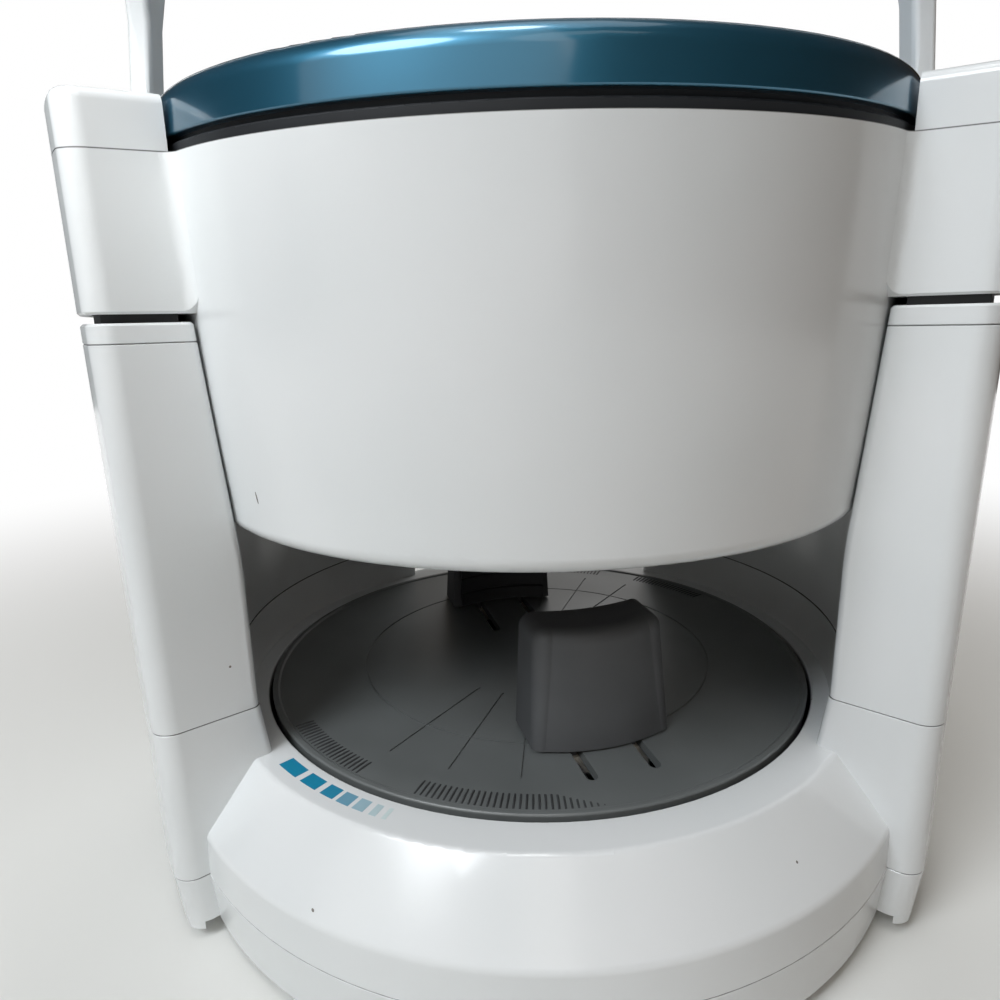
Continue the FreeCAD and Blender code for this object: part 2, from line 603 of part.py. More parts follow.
def make_grips():
    for name, az in (("front", GRIP_AZ), ("rear", GRIP_AZ + 180)):
        keep(name + "_grip", spun(grip_block(), az))
        keep(name + "_grip_pad", spun(grip_pad(), az))
        keep(name + "_carriage", spun(grip_carriage(), az))
    pinion = gear(*GRIP_PINION, RACK_Z[0], RACK_Z[1] - 0.1, 2.55)
    keep("grip_pinion", spun(pinion, GRIP_AZ))


# ---- head ---------------------------------------------------------------------------------------------
def drum_solid(grow, low, top):
    """Solid drum under the bowed wall; grow moves the wall out or in."""
    lip = LIP_R + grow
    start = V(DRUM_LOW[0] + grow, 0, DRUM_LOW[1])
    middle = V(DRUM_MID[0] + grow, 0, DRUM_MID[1])
    end = V(DRUM_HIGH[0] + grow, 0, top)
    round_mid = V(DRUM_LOW[0] + grow - 0.9, 0, low + 1.4)
    edges = [Part.makeLine(V(0, 0, low), V(lip, 0, low)),
             Part.Arc(V(lip, 0, low), round_mid, start).toShape(),
             Part.Arc(start, middle, end).toShape(),
             Part.makeLine(end, V(0, 0, top)), Part.makeLine(V(0, 0, top), V(0, 0, low))]
    return Part.Face(Part.Wire(edges)).revolve(AXIS, UP, 360)


def sleeve_band(inset, low, top, inner):
    """The sleeve that hangs from the head over a column's top, or with inset the space in it."""
    out = SLEEVE_OUT - inset
    return column_block([(inner, low), (out, low), (out, top), (inner, top)], inset)


def make_head_shells():
    top = DRUM_HIGH[1]
    drum = drum_solid(0, LIP_Z, top)
    sleeve = chamfer(sleeve_band(0, SLEEVE_Z, top, 80), 2 * SEAM, lies_at(SLEEVE_Z))
    skin = drum.fuse([sleeve, mirrored(sleeve)])
    skin = fillet(skin, SLEEVE_BLEND, lambda e: is_vertical(e, 4) and e.CenterOfMass.z > SLEEVE_Z
                  and 94 < math.hypot(e.CenterOfMass.x, e.CenterOfMass.y) < 99)
    cavity = drum_solid(-HEAD_WALL, LIP_Z, top).fuse(rod(LIP_R - HEAD_WALL, LIP_Z - 5, LIP_Z + 5))
    pocket = sleeve_band(HEAD_WALL, SLEEVE_Z - 1, top + 1, DRUM_HIGH[0] + 1.6)
    ledge = turned([(90, LID_PLATE_Z - 3), (95.0, LID_PLATE_Z - 3), (95.0, LID_PLATE_Z), (90, LID_PLATE_Z)])
    shell = skin.cut([cavity, pocket, mirrored(pocket)]).fuse(ledge).cut(above(0))
    front = shell.common(box(-200, 200, -200, 0, 0, 300))
    rear = shell.common(box(-200, 200, 0, 200, 0, 300))
    keep("head_front_shell", front.removeSplitter())
    keep("head_rear_shell", rear.removeSplitter())


def make_cover():
    ring = turned([(88, 0), (COVER_R - 0.5, 0), (COVER_R - 0.5, 1.9, 0.4), (COVER_R - 2.4, 2.2),
                   (COVER_R - 2.4, RING_H), (88, RING_H)])
    keep("cover_ring", tilted(ring))
    top = COVER_H + COVER_DOME
    skin = [(0, top), (55, top - 1.2, 60), (COVER_R - 0.8, COVER_H, COVER_ROUND), (COVER_R, RING_H, 0.5),
            (COVER_R - 2.4, RING_H), (COVER_R - 3.2, COVER_H - 2.5, COVER_ROUND - 2.4),
            (55, top - 3.6, 58), (0, top - 2.4)]
    keep("head_cover", tilted(turned(skin)))


def make_caps():
    outer = column_block([(CAP_IN, 170), (SLEEVE_OUT, 170), (SLEEVE_OUT, 230), (CAP_IN, 230)])
    outer = outer.cut(above(CAP_H)).common(above(0.02))
    outer = fillet(outer, 2.5, lambda e: e.CenterOfMass.z > cap_plane(e.CenterOfMass.y) - 1.5
                   and math.hypot(e.CenterOfMass.x, e.CenterOfMass.y) > CAP_IN - 6)
    hollow = column_block([(CAP_IN + 2.2, 170), (SLEEVE_OUT - 2.4, 170), (SLEEVE_OUT - 2.4, 230),
                           (CAP_IN + 2.2, 230)], 2.6).cut(above(CAP_H - 2.6))
    leg = box(leg_x() - LEG_W / 2 - 0.2, leg_x() + LEG_W / 2 + 0.2, -LEG_D / 2 - 0.2, LEG_D / 2 + 0.2, 150, 240)
    both("cap", outer.cut([hollow, leg]))


def cap_plane(y):
    """Height of the caps' top plane at y."""
    slope = math.tan(math.radians(PART_TILT))
    return PART_FRONT_Z + (DRUM_HIGH[0] + y) * slope + CAP_H / math.cos(math.radians(PART_TILT))


def leg_x():
    return HANDLE_X - LEG_W / 2


def make_handle():
    foot = BRACKET_Z + BRACKET_T
    out, inn = HANDLE_X, HANDLE_X - LEG_W
    shoulder, under = HANDLE_TOP - 36, HANDLE_TOP - CROWN_T
    right = [(out, foot), (out, HANDLE_BEND), (out - LEG_LEAN, shoulder, 20), (out - 28, HANDLE_TOP, 55)]
    left = [(-inn, foot), (-inn, HANDLE_BEND), (-inn + LEG_LEAN, shoulder - 4, 16), (-inn + 22, under, 18)]
    front = right + [(-x, *rest) for x, *rest in reversed(right)]
    front += left + [(-x, *rest) for x, *rest in reversed(left)]
    arch = Part.Face(outline(front, lambda u, v: V(u, -30, v))).extrude(V(0, 60, 0))
    half = LEG_D / 2
    low, high = WAIST
    side = [(half, foot), (half, low), (CROWN_D / 2, high), (CROWN_D / 2, HANDLE_TOP)]
    side += [(-u, v) for u, v in reversed(side)]
    depth = Part.Face(outline(side, lambda u, v: V(-200, u, v))).extrude(V(400, 0, 0))
    handle = fillet(arch.common(depth), HANDLE_ROUND, lambda e: e.BoundBox.ZMin > HANDLE_BEND - 1
                    and e.Length > 8 and abs(e.CenterOfMass.y) > half - 0.1)
    keep("handle", handle.cut(plate(button_outline(0.35), HANDLE_TOP - SWITCH_DEEP, HANDLE_TOP + 1)))
    cap = plate(button_outline(0.0), HANDLE_TOP - 5.2, HANDLE_TOP + BUTTON_H - 3)
    keep("open_button", cap.fuse(box(-3, 3, -3, 3, HANDLE_TOP - 6.2, HANDLE_TOP - 5.2)))
    keep("button_switch", box(-6, 6, -5, 5, HANDLE_TOP - SWITCH_DEEP, HANDLE_TOP - 6.2 - BUTTON_TRAVEL - 0.35))


def button_outline(grow):
    """Plan outline of the press-and-hold button: a long oval."""
    x, y = BUTTON_L / 2 + grow, BUTTON_W / 2 + grow
    return [(-x, -y, y - 0.01), (x, -y, y - 0.01), (x, y, y - 0.01), (-x, y, y - 0.01)]


def make_guides():
    rods = []
    for az in GUIDE_AZ:
        p = at(GUIDE_AT, az, 0)
        rods.append(rod(GUIDE_R, 26.0, BRACKET_Z, p.x, p.y))
    both("guide_rods", Part.makeCompound(rods))
    bracket = turned([(100.5, BRACKET_Z), (SLEEVE_OUT - HEAD_WALL, BRACKET_Z),
                      (SLEEVE_OUT - HEAD_WALL, BRACKET_Z + BRACKET_T), (100.5, BRACKET_Z + BRACKET_T)],
                     58, 138)
    both("lift_bracket", bracket)


def lift_y():
    """y of the damper pinions; the racks' pitch line is at y = 3."""
    return 3.0 + LIFT_PINION[0] * LIFT_PINION[1] / 2


def damper_x():
    return LIFT_X + 3.4


def make_lift():
    teeth, module = LIFT_PINION
    pitch = math.pi * module
    first = LIFT_Z - 31 * pitch
    bar = rack_points(module, first, 36, -5.5)
    rack = Part.Face(outline(bar, lambda u, v: V(LIFT_X - 2.5, 3.0 + v, u))).extrude(V(5, 0, 0))
    stem = box(LIFT_X - 2.5, LIFT_X + 2.5, -2.5, 1.8, first + 35.5 * pitch, BRACKET_Z)
    both("lift_rack", rack.fuse(stem))

    pinion = gear(teeth, module, -2.4, 2.4, 2.05, phase=180 / teeth)
    pinion.rotate(AXIS, V(0, 1, 0), 90)
    pinion.rotate(AXIS, V(1, 0, 0), -90)
    pinion.translate(V(LIFT_X, lift_y(), LIFT_Z))
    both("damper_pinion", pinion)

    body = Part.makeCylinder(7.0, 5.0, V(damper_x() + 0.6, lift_y(), LIFT_Z), V(1, 0, 0))
    axle = Part.makeCylinder(2.0, 7.0, V(damper_x() - 6.2, lift_y(), LIFT_Z), V(1, 0, 0))
    both("damper", body.fuse(axle))


def make_lid_gripper():
    z0, z1 = LID_PLATE_Z, LID_PLATE_Z + LID_PLATE_T
    disc = rod(92.6, z0, z1)
    slots = [box(side * 14 if side > 0 else -64, 64 if side > 0 else -14, y - 2, y + 2, z0 - 1, z1 + 1)
             for side in (-1, 1) for y in (-10, 10)]
    gripper = disc.cut(slots).cut(rod(3.05, z0 - 1, z1 + 1))
    keep("gripper_plate", gripper)

    mid = LID_JAW_IN + LID_JAW_D / 2
    for name, side in (("right", 1), ("left", -1)):
        jaw = box(LID_JAW_IN, LID_JAW_IN + LID_JAW_D, -LID_JAW_W / 2, LID_JAW_W / 2, LID_JAW_LOW, z0 - 0.4)
        jaw = fillet(jaw, 2.5, lambda e: is_vertical(e))
        jaw = jaw.cut(rod(LID_JAW_IN + 2.4, LID_JAW_LOW - 1, z0))
        blades = [box(mid - 4, mid + 4, y - 1.6, y + 1.6, z0 - 0.4, z1 + 0.4) for y in (-10, 10)]
        slide = box(mid - 5, mid + 5, -13, 13, z1 + 0.4, z1 + 2.1)
        teeth, module = LID_PINION
        pitch_r, pitch = teeth * module / 2, math.pi * module
        first = -3.5 * pitch
        bar = rack_points(module, first, 20, -4.6)
        place = lambda u, v: V(u, pitch_r - v, z1 + 2.4)
        bar = Part.Face(outline(bar, place)).extrude(V(0, 0, 4))
        neck = box(mid - 5, mid + 5, pitch_r + 1.2, 13, z1 + 2.1, z1 + 6.4)
        arm = box(first + 19.5 * pitch, mid + 5, pitch_r + 1.2, pitch_r + 4.6, z1 + 2.4, z1 + 6.4)
        jaw = jaw.fuse(blades + [slide, bar, neck, arm])
        pad = tube(LID_JAW_IN, LID_JAW_IN + 2.4, LID_JAW_LOW + 1, z0 - 4)
        pad = pad.common(box(0, 80, -LID_JAW_W / 2 + 3, LID_JAW_W / 2 - 3, LID_JAW_LOW, z0))
        if side < 0:
            jaw.rotate(AXIS, UP, 180)
            pad.rotate(AXIS, UP, 180)
        keep(name + "_lid_jaw", jaw)
        keep(name + "_lid_pad", pad)

    pinion = gear(*LID_PINION, z1 + 2.6, z1 + 6.2, 2.05, phase=90)
    keep("lid_pinion", pinion)
    can = rod(16, z1 + 8.0, z1 + 25.0)
    shaft = rod(2.0, z1 + 1.0, z1 + 8.0)
    legs = [rod(2.5, z1, z1 + 8.0, x, y) for x in (-20, 20) for y in (-24, 24)]
    bars = [box(-22.5, 22.5, y - 2.5, y + 2.5, z1 + 8.0, z1 + 10.0) for y in (-24, 24)]
    bridge = box(-8, 8, -26.5, 26.5, z1 + 8.0, z1 + 10.0)
    keep("lid_motor", can.fuse([shaft, bridge] + legs + bars))


# ---- build ----------------------------------------------------------------------------------------------
def main():
    os.makedirs("parts", exist_ok=True)
    for make in (make_base_pan, make_feet, make_base_shell, make_columns, make_bearing, make_drive_motor,
                 make_control_board, make_grommet, make_pan_screws, make_turntable, make_grips,
                 make_head_shells, make_cover, make_caps, make_handle, make_guides, make_lift,
                 make_lid_gripper):
        make()
    for name, shape in NODES.items():
        shape.exportStep("parts/%s.step" % name)
        report = (name, len(shape.Solids), shape.isValid(), shape.Volume / 1000)
        print("%-20s %2d solid(s) %s %8.2f cm3" % report)


main()
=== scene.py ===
"""Looks of the electric jar opener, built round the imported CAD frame.

Lengths are millimetres, but those of the studio metres; meshes are written in metres.
+Z is up and the user stands at -Y.  A bearing is in degrees from the front, turning towards +X.
"""
import json

import bmesh
import bpy
import numpy as np
from mathutils import Matrix, Vector


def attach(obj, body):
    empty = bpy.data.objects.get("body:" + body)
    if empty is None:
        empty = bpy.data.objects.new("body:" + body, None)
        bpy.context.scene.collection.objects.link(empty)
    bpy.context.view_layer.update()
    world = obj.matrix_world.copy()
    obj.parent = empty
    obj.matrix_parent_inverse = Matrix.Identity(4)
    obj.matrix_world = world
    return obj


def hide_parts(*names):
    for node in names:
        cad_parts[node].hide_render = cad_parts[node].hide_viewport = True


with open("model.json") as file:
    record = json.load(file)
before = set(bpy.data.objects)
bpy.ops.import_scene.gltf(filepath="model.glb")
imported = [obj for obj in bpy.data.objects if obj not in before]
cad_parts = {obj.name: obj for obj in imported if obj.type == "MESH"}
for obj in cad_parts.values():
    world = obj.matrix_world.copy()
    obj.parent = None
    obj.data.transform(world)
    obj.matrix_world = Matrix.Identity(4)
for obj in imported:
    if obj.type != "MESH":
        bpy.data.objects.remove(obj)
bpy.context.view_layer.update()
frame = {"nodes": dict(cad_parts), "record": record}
NODES = frame["nodes"]
BODIES = frame["record"]["behaviour"]["bodies"]
BODY_OF = {node: body for body, members in BODIES.items() for node in members}

MM = 0.001
MOULDING_CREASE = 34.0      # degrees: two facets that meet flatter than this are one smooth surface
FLAT_FACET = 0.2            # degrees: two facets that meet flatter than this become one face
WELD = 2e-6                 # metres: corners closer than this are one corner


# ---- camera -----------------------------------------------------------------------------------------
CAMERA_AT_MM = (-6.3, -221.4, 152.2)
CAMERA_YAW, CAMERA_PITCH, CAMERA_ROLL = -1.10, 14.07, -1.335
SENSOR_MM = 36.0
FOCAL_SHARE = 0.7199        # focal length as a share of the sensor


def place_camera():
    """Puts the camera at its eye point.  Its axes: forward = (sin yaw cos pitch, cos yaw cos pitch,
    -sin pitch), right = the level right turned by the roll towards up."""
    yaw, pitch, roll = np.radians([CAMERA_YAW, CAMERA_PITCH, CAMERA_ROLL])
    forward = np.array([np.sin(yaw) * np.cos(pitch), np.cos(yaw) * np.cos(pitch), -np.sin(pitch)])
    level = np.array([np.cos(yaw), -np.sin(yaw), 0.0])
    upright = np.cross(level, forward)
    right = np.cos(roll) * level + np.sin(roll) * upright
    up = -np.sin(roll) * level + np.cos(roll) * upright
    data = bpy.data.cameras.new("camera")
    data.sensor_width = SENSOR_MM
    data.lens = SENSOR_MM * FOCAL_SHARE
    data.clip_start = 0.01
    camera = bpy.data.objects.new("camera", data)
    turn = Matrix(np.column_stack([right, up, -forward]).tolist()).to_4x4()
    camera.matrix_world = Matrix.Translation(Vector(CAMERA_AT_MM) * MM) @ turn
    bpy.context.scene.collection.objects.link(camera)
    bpy.context.scene.camera = camera


# ---- colours and shader nodes -----------------------------------------------------------------------
MIX_A, MIX_B, MIX_RESULT = 6, 7, 2      # the colour sockets of a Mix node
NOISE_SPAN = (0.2, 0.8)                 # nearly all values of the noise lie between these


def colour(code):
    """An sRGB hex code as linear RGBA: c/12.92 below 0.04045, else ((c + 0.055)/1.055) to the 2.4."""
    srgb = np.array([int(code[i:i + 2], 16) for i in (1, 3, 5)]) / 255.0
    linear = np.where(srgb <= 0.04045, srgb / 12.92, ((srgb + 0.055) / 1.055) ** 2.4)
    return (*linear.tolist(), 1.0)


def add_node(material, kind, links=None, **settings):
    """A shader node of that kind.  settings are its properties, or the values of its inputs where the
    name starts with in_ (spaces as underscores); links are {input name or number: output socket}."""
    node = material.node_tree.nodes.new(kind)
    for name, value in settings.items():
        if name.startswith("in_"):
            node.inputs[name[3:].replace("_", " ")].default_value = value
        else:
            setattr(node, name, value)
    for name, socket in (links or {}).items():
        material.node_tree.links.new(socket, node.inputs[name])
    return node


def new_material(name):
    """An empty material and its Principled shader, joined to the output."""
    material = bpy.data.materials.new(name)
    material.use_nodes = True
    material.node_tree.nodes.clear()
    shader = add_node(material, "ShaderNodeBsdfPrincipled")
    add_node(material, "ShaderNodeOutputMaterial", {"Surface": shader.outputs[0]})
    return material, shader


def plug(material, socket, target):
    material.node_tree.links.new(socket, target)


def grain(material, shader, size_mm, height_mm, strength, detail=2.0):
    """A moulded or ground surface's fine relief: noise with features of size_mm, as a bump."""
    place = add_node(material, "ShaderNodeTexCoord")
    noise = add_node(material, "ShaderNodeTexNoise", {"Vector": place.outputs["Object"]},
                     in_Scale=1.0 / (size_mm * MM), in_Detail=detail)
    bump = add_node(material, "ShaderNodeBump", {"Height": noise.outputs[0]},
                    in_Strength=strength, in_Distance=height_mm * MM)
    plug(material, bump.outputs[0], shader.inputs["Normal"])
    return place


def cloudy(material, place, size_mm, low, high, detail=1.5):
    """A slow variation between two numbers over patches of size_mm."""
    noise = add_node(material, "ShaderNodeTexNoise", {"Vector": place.outputs["Object"]},
                     in_Scale=1.0 / (size_mm * MM), in_Detail=detail)
    spread = add_node(material, "ShaderNodeMapRange", {"Value": noise.outputs[0]},
                      interpolation_type="SMOOTHSTEP", in_From_Min=NOISE_SPAN[0],
                      in_From_Max=NOISE_SPAN[1], in_To_Min=low, in_To_Max=high)
    return spread.outputs[0]


def tinted(material, factor, dark, light):
    """A colour between two hex colours."""
    mix = add_node(material, "ShaderNodeMix", data_type="RGBA")
    mix.inputs[MIX_A].default_value = colour(dark)
    mix.inputs[MIX_B].default_value = colour(light)
    plug(material, factor, mix.inputs[0])
    return mix.outputs[MIX_RESULT]


# ---- finishes ---------------------------------------------------------------------------------------
ABS_IOR = 1.53
SPECK_APART, SPECK_SIZE = 26.0, 0.012       # millimetres between specks; radius as a share of that


def white_abs():
    """ABS from a polished mould: a bright cool white that mirrors the lamps softly, a trace of
    orange peel, and now and then a dark speck of carbon in the plastic.  Along the parting lines
    the colour is painted near black, as painted shade of the slit between the parts, so they read as thin
    dark lines."""
    material, shader = new_material("white_gloss_abs_moulding")
    place = grain(material, shader, size_mm=3.0, height_mm=0.02, strength=0.18, detail=1.0)
    body = tinted(material, cloudy(material, place, 38.0, 0.0, 1.0), "#e1e5e6", "#e6e9ea")
    cells = add_node(material, "ShaderNodeTexVoronoi", {"Vector": place.outputs["Object"]},
                     in_Scale=1.0 / (SPECK_APART * MM))
    near = add_node(material, "ShaderNodeMath", {0: cells.outputs["Distance"]}, operation="LESS_THAN")
    near.inputs[1].default_value = SPECK_SIZE
    specked = add_node(material, "ShaderNodeMix", {0: near.outputs[0], MIX_A: body}, data_type="RGBA")
    specked.inputs[MIX_B].default_value = colour("#7d766f")
    # Painted shade: along each parting line the colour goes to near black, standing in for the shade in the
    # slit between the parts.
    painted_seam_shade = add_node(material, "ShaderNodeAttribute", attribute_name="painted_seam_shade")
    seam = add_node(material, "ShaderNodeMix", {0: painted_seam_shade.outputs["Fac"],
                                                MIX_A: specked.outputs[MIX_RESULT]}, data_type="RGBA")
    seam.inputs[MIX_B].default_value = colour("#24221f")
    plug(material, seam.outputs[MIX_RESULT], shader.inputs["Base Color"])
    plug(material, cloudy(material, place, 22.0, 0.16, 0.22), shader.inputs["Roughness"])
    shader.inputs["IOR"].default_value = ABS_IOR
    return material


def blue_lacquer():
    """Metallic lacquer under a clear coat on ABS: deep teal flake, far finer than a pixel, that goes
    near black where nothing bright is behind it, with sharp highlights on top."""
    material, shader = new_material("teal_blue_metallic_lacquer")
    place = grain(material, shader, size_mm=6.0, height_mm=0.01, strength=0.04)
    plug(material, tinted(material, cloudy(material, place, 45.0, 0.0, 1.0), "#27617a", "#2c6a85"),
         shader.inputs["Base Color"])
    shader.inputs["Metallic"].default_value = 0.75
    shader.inputs["Roughness"].default_value = 0.34
    shader.inputs["Coat Weight"].default_value = 1.0
    shader.inputs["Coat Roughness"].default_value = 0.10
    return material


def printed_ink():
    """Pad-printed ink: thin, flat and satin.  The bar's own fade runs it from full teal to white."""
    material, shader = new_material("pad_printed_satin_ink")
    fade = add_node(material, "ShaderNodeAttribute", attribute_name="fade")
    plug(material, tinted(material, fade.outputs["Fac"], "#1b88ac", "#d9e6e4"), shader.inputs["Base Color"])
    shader.inputs["Roughness"].default_value = 0.34
    return material


def moulded(name, dark, light, roughness, size_mm=0.8, height_mm=0.03, strength=0.3, ior=ABS_IOR):
    """A moulded plastic or rubber: two close tones in patches, spark-eroded grain of size_mm."""
    material, shader = new_material(name)
    place = grain(material, shader, size_mm, height_mm, strength)
    plug(material, tinted(material, cloudy(material, place, 16.0, 0.0, 1.0), dark, light),
         shader.inputs["Base Color"])
    plug(material, cloudy(material, place, 14.0, roughness - 0.02, roughness + 0.02),
         shader.inputs["Roughness"])
    shader.inputs["IOR"].default_value = ior
    return material


def metal(name, dark, light, roughness, size_mm=0.6):
    """A drawn, plated or sintered metal: two close tones in fine patches, full metallic."""
    material, shader = new_material(name)
    place = grain(material, shader, size_mm, 0.01, 0.15)
    plug(material, tinted(material, cloudy(material, place, 5.0, 0.0, 1.0), dark, light),
         shader.inputs["Base Color"])
    plug(material, cloudy(material, place, 3.0, roughness - 0.05, roughness + 0.05),
         shader.inputs["Roughness"])
    shader.inputs["Metallic"].default_value = 1.0
    return material


def make_finishes():
    """One material for each slot of the record, and three for the pieces that are added here."""
    return {
        "white_abs": white_abs(),
        "blue_lacquer": blue_lacquer(),
        # Satin dark blue-grey ABS.
        "slate_abs": moulded("slate_satin_abs", "#0f1216", "#14181c", 0.62, ior=1.42),
        # Glass-filled ABS with a satin sheen, so it picks up broad grey reflections.
        "charcoal_abs": moulded("charcoal_satin_abs", "#696d6d", "#6e7272", 0.33),
        # Rubbery overmould: dull, with a fine even grain.
        "grey_soft_grip": moulded("grey_thermoplastic_rubber", "#4c4e50", "#545658", 0.58, 0.5, 0.04, 0.3),
        # Cured rubber, nearly black and dull.
        "black_rubber": moulded("black_nitrile_rubber", "#1d1e1f", "#262728", 0.62, 0.6, 0.05, 0.5),
        # Drawn and plated rod, softly bright.
        "bright_steel": metal("ground_bright_steel", "#dddfe1", "#e8eaec", 0.50),
        # Zinc plate: cool, slightly mottled.
        "zinc_steel": metal("zinc_plated_steel", "#a2a6aa", "#b4b8bc", 0.34),
        # Drawn and tin-plated can of a motor.
        "motor_steel": metal("drawn_motor_steel", "#8d9296", "#9da2a6", 0.30),
        # Acetal straight from the mould: creamy and waxy.
        "natural_acetal": moulded("natural_acetal", "#dfdbd0", "#e6e2d8", 0.42),
        "black_abs": moulded("black_satin_abs", "#222426", "#2a2c2e", 0.42),
        # Oil-filled sintered bronze: granular and dull gold.
        "sintered_brass": metal("sintered_bronze", "#a98747", "#b8954f", 0.45, 0.3),
        # Glass-epoxy board under green solder resist.
        "green_laminate": moulded("green_glass_epoxy", "#1a4f33", "#235e3e", 0.32),
        # Grey satin ABS of the press-and-hold button.
        "grey_button": moulded("grey_satin_abs", "#687480", "#727e8a", 0.38),
        "ink": printed_ink(),
        # The turntable's fine ribs: duller than the turntable, and painted darker as painted shade, so that
        # they read as shaded grooves.
        "rib_painted_shade": moulded("rib_painted_groove_shade", "#3b3d3e", "#434546", 0.50),
        # Graze through the gloss, with dirt rubbed into it.
        "scuff": moulded("dirt_in_a_scuff", "#5c5854", "#86827d", 0.60, 0.2),
    }


# ---- pieces -----------------------------------------------------------------------------------------
def settle(piece, node, finish):
    """Lets a new piece stand for a CAD node, on the node's own body."""
    piece.data.materials.clear()
    piece.data.materials.append(FINISH[finish])
    bpy.context.scene.collection.objects.link(piece)
    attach(piece, BODY_OF[node])
    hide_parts(node)
    return piece


def finish_of(node):
    """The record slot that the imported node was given."""
    return NODES[node].data.materials[0].name.split(".")[0]


SEAM_HALF = 0.20            # the shaded width each side of a parting line
TILT = np.radians(4.8)      # the head parts on a plane that rises this much towards the back
HEAD_PART = ((0.0, -97.3, 184.0), (0.0, -np.sin(TILT), np.cos(TILT)))
PARTING = {                 # plane as (point, normal): the pieces that meet on it
    ((0.0, 0.0, 18.5), (0.0, 0.0, 1.0)): ("base_pan", "base_shell", "left_column_socket",
                                          "right_column_socket"),
    ((0.0, 0.0, 59.0), (0.0, 0.0, 1.0)): ("left_column_socket", "right_column_socket",
                                          "left_column_shell", "right_column_shell"),
    ((0.0, 0.0, 149.0), (0.0, 0.0, 1.0)): ("left_column_shell", "right_column_shell",
                                           "left_column_bezel", "right_column_bezel"),
    HEAD_PART: ("left_cap", "right_cap", "head_front_shell", "head_rear_shell"),
    ((0.0, 0.0, 0.0), (0.0, 1.0, 0.0)): ("head_front_shell", "head_rear_shell"),
}


def shade_partings(form, node):
    """Cuts the skin SEAM_HALF either side of each plane it parts on and writes the point attribute
    that weights the painted shade of the parting line: 1 on the plane, falling in a straight line to 0 at
    the cuts."""
    planes = [plane for plane, members in PARTING.items() if node in members]
    for point, normal in planes:
        for side in (-SEAM_HALF, SEAM_HALF):
            bmesh.ops.bisect_plane(form, geom=form.verts[:] + form.edges[:] + form.faces[:], dist=1e-7,
                                   plane_co=(Vector(point) + side * Vector(normal)) * MM, plane_no=normal)
    layer = form.verts.layers.float.new("painted_seam_shade")
    for corner in form.verts:
        gaps = [abs((corner.co / MM - Vector(point)).dot(Vector(normal))) for point, normal in planes]
        corner[layer] = max([0.0] + [1.0 - gap / SEAM_HALF for gap in gaps])


CROWN_R, CROWN_Z = 92.0, 13.49      # where the cover's top meets the rounding of its rim
CROWN_BOW = (3.13, 0.58)            # rise of the top over that, in (1 - t^2) and in its square


def crown(form):
    """Rounds the cover's top, which the CAD draws as two cones.  At t times CROWN_R from the axis its
    height over the parting plane becomes CROWN_Z + a (1 - t^2) + b (1 - t^2)^2, with a and b from
    CROWN_BOW: the cone's own height and slope at CROWN_R, and its height in the middle."""
    (_, front, level), normal = HEAD_PART
    normal = Vector(normal)
    origin = Vector((0.0, 0.0, level - front * np.tan(TILT)))
    form.normal_update()
    for corner in form.verts:
        place = corner.co / MM - origin
        height = place.dot(normal)
        share = 1.0 - ((place - height * normal).length / CROWN_R) ** 2
        if share > 0 and height > CROWN_Z and corner.normal.z > 0.5:
            rise = CROWN_BOW[0] * share + CROWN_BOW[1] * share ** 2
            corner.co += (CROWN_Z + rise - height) * MM * normal


def skin(node):
    """The CAD node's own surface as one joined mesh: shared corners merged, flat stretches made one
    face each (but the cover's top rounded), smooth wherever two facets meet flatter than
    MOULDING_CREASE.  Normals are weighted by area, so that a flat face beside a rounding stays flat."""
    mesh = NODES[node].data.copy()
    if "custom_normal" in mesh.attributes:
        mesh.attributes.remove(mesh.attributes["custom_normal"])
    form = bmesh.new()
    form.from_mesh(mesh)
    bmesh.ops.remove_doubles(form, verts=form.verts, dist=WELD)
    if node == "head_cover":
        crown(form)
    else:
        bmesh.ops.dissolve_limit(form, angle_limit=np.radians(FLAT_FACET), verts=form.verts,
                                 edges=form.edges)
    shade_partings(form, node)
    form.to_mesh(mesh)
    form.free()
    mesh.shade_smooth()
    mesh.set_sharp_from_angle(angle=np.radians(MOULDING_CREASE))
    piece = settle(bpy.data.objects.new(node + "_skin", mesh), node, finish_of(node))
    weights = piece.modifiers.new("flat_faces", "WEIGHTED_NORMAL")
    weights.keep_sharp = True
    return piece


def polar(radius, az, z):
    """Points in metres from arrays of radius and height in millimetres and bearing in degrees."""
    turn = np.radians(az)
    radius, turn, z = np.broadcast_arrays(radius, turn, z)
    return np.stack([radius * np.sin(turn), -radius * np.cos(turn), z], axis=-1) * MM


def strip_faces(rows, columns, closed=False):
    """Quads of a grid numbered row by row, wound so that (along the columns) x (along the rows) is
    outwards; a closed grid's last column joins its first."""
    across = np.arange(columns if closed else columns - 1)
    first = (np.arange(rows - 1)[:, None] * columns + across).ravel()
    second = (np.arange(rows - 1)[:, None] * columns + (across + 1) % columns).ravel()
    return np.column_stack([first, second, second + columns, first + columns])


def shape_from(name, points, faces):
    mesh = bpy.data.meshes.new(name)
    mesh.from_pydata(points.reshape(-1, 3).tolist(), [], [list(map(int, face)) for face in faces])
    mesh.update()
    return bpy.data.objects.new(name, mesh)


def thicken(piece, depth):
    """Makes a slab of a flat piece, depth millimetres down from it."""
    slab = piece.modifiers.new("slab", "SOLIDIFY")
    slab.thickness, slab.offset = depth * MM, -1.0


def add_piece(piece, body, finish):
    """Puts a piece that no CAD node stands for on a body."""
    piece.data.materials.append(FINISH[finish])
    bpy.context.scene.collection.objects.link(piece)
    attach(piece, body)
    return piece


# ---- printed bars on the ring -----------------------------------------------------------------------
RING_TOP = 45.0
BAR_R = (87.5, 91.4)
BAR_AZ = np.array([(-46.6, -41.7), (-40.5, -36.8), (-35.7, -33.0), (-32.3, -29.9), (-29.2, -27.2),
                   (-26.2, -25.0), (-24.0, -23.3)])
BAR_FADE = (0.0, 0.0, 0.02, 0.22, 0.48, 0.72, 0.88)
FILM = 0.03                 # printed film, drawn thick enough to lie clear of the ring
BAR_GRID = (3, 9)           # corners of a bar: outwards and round


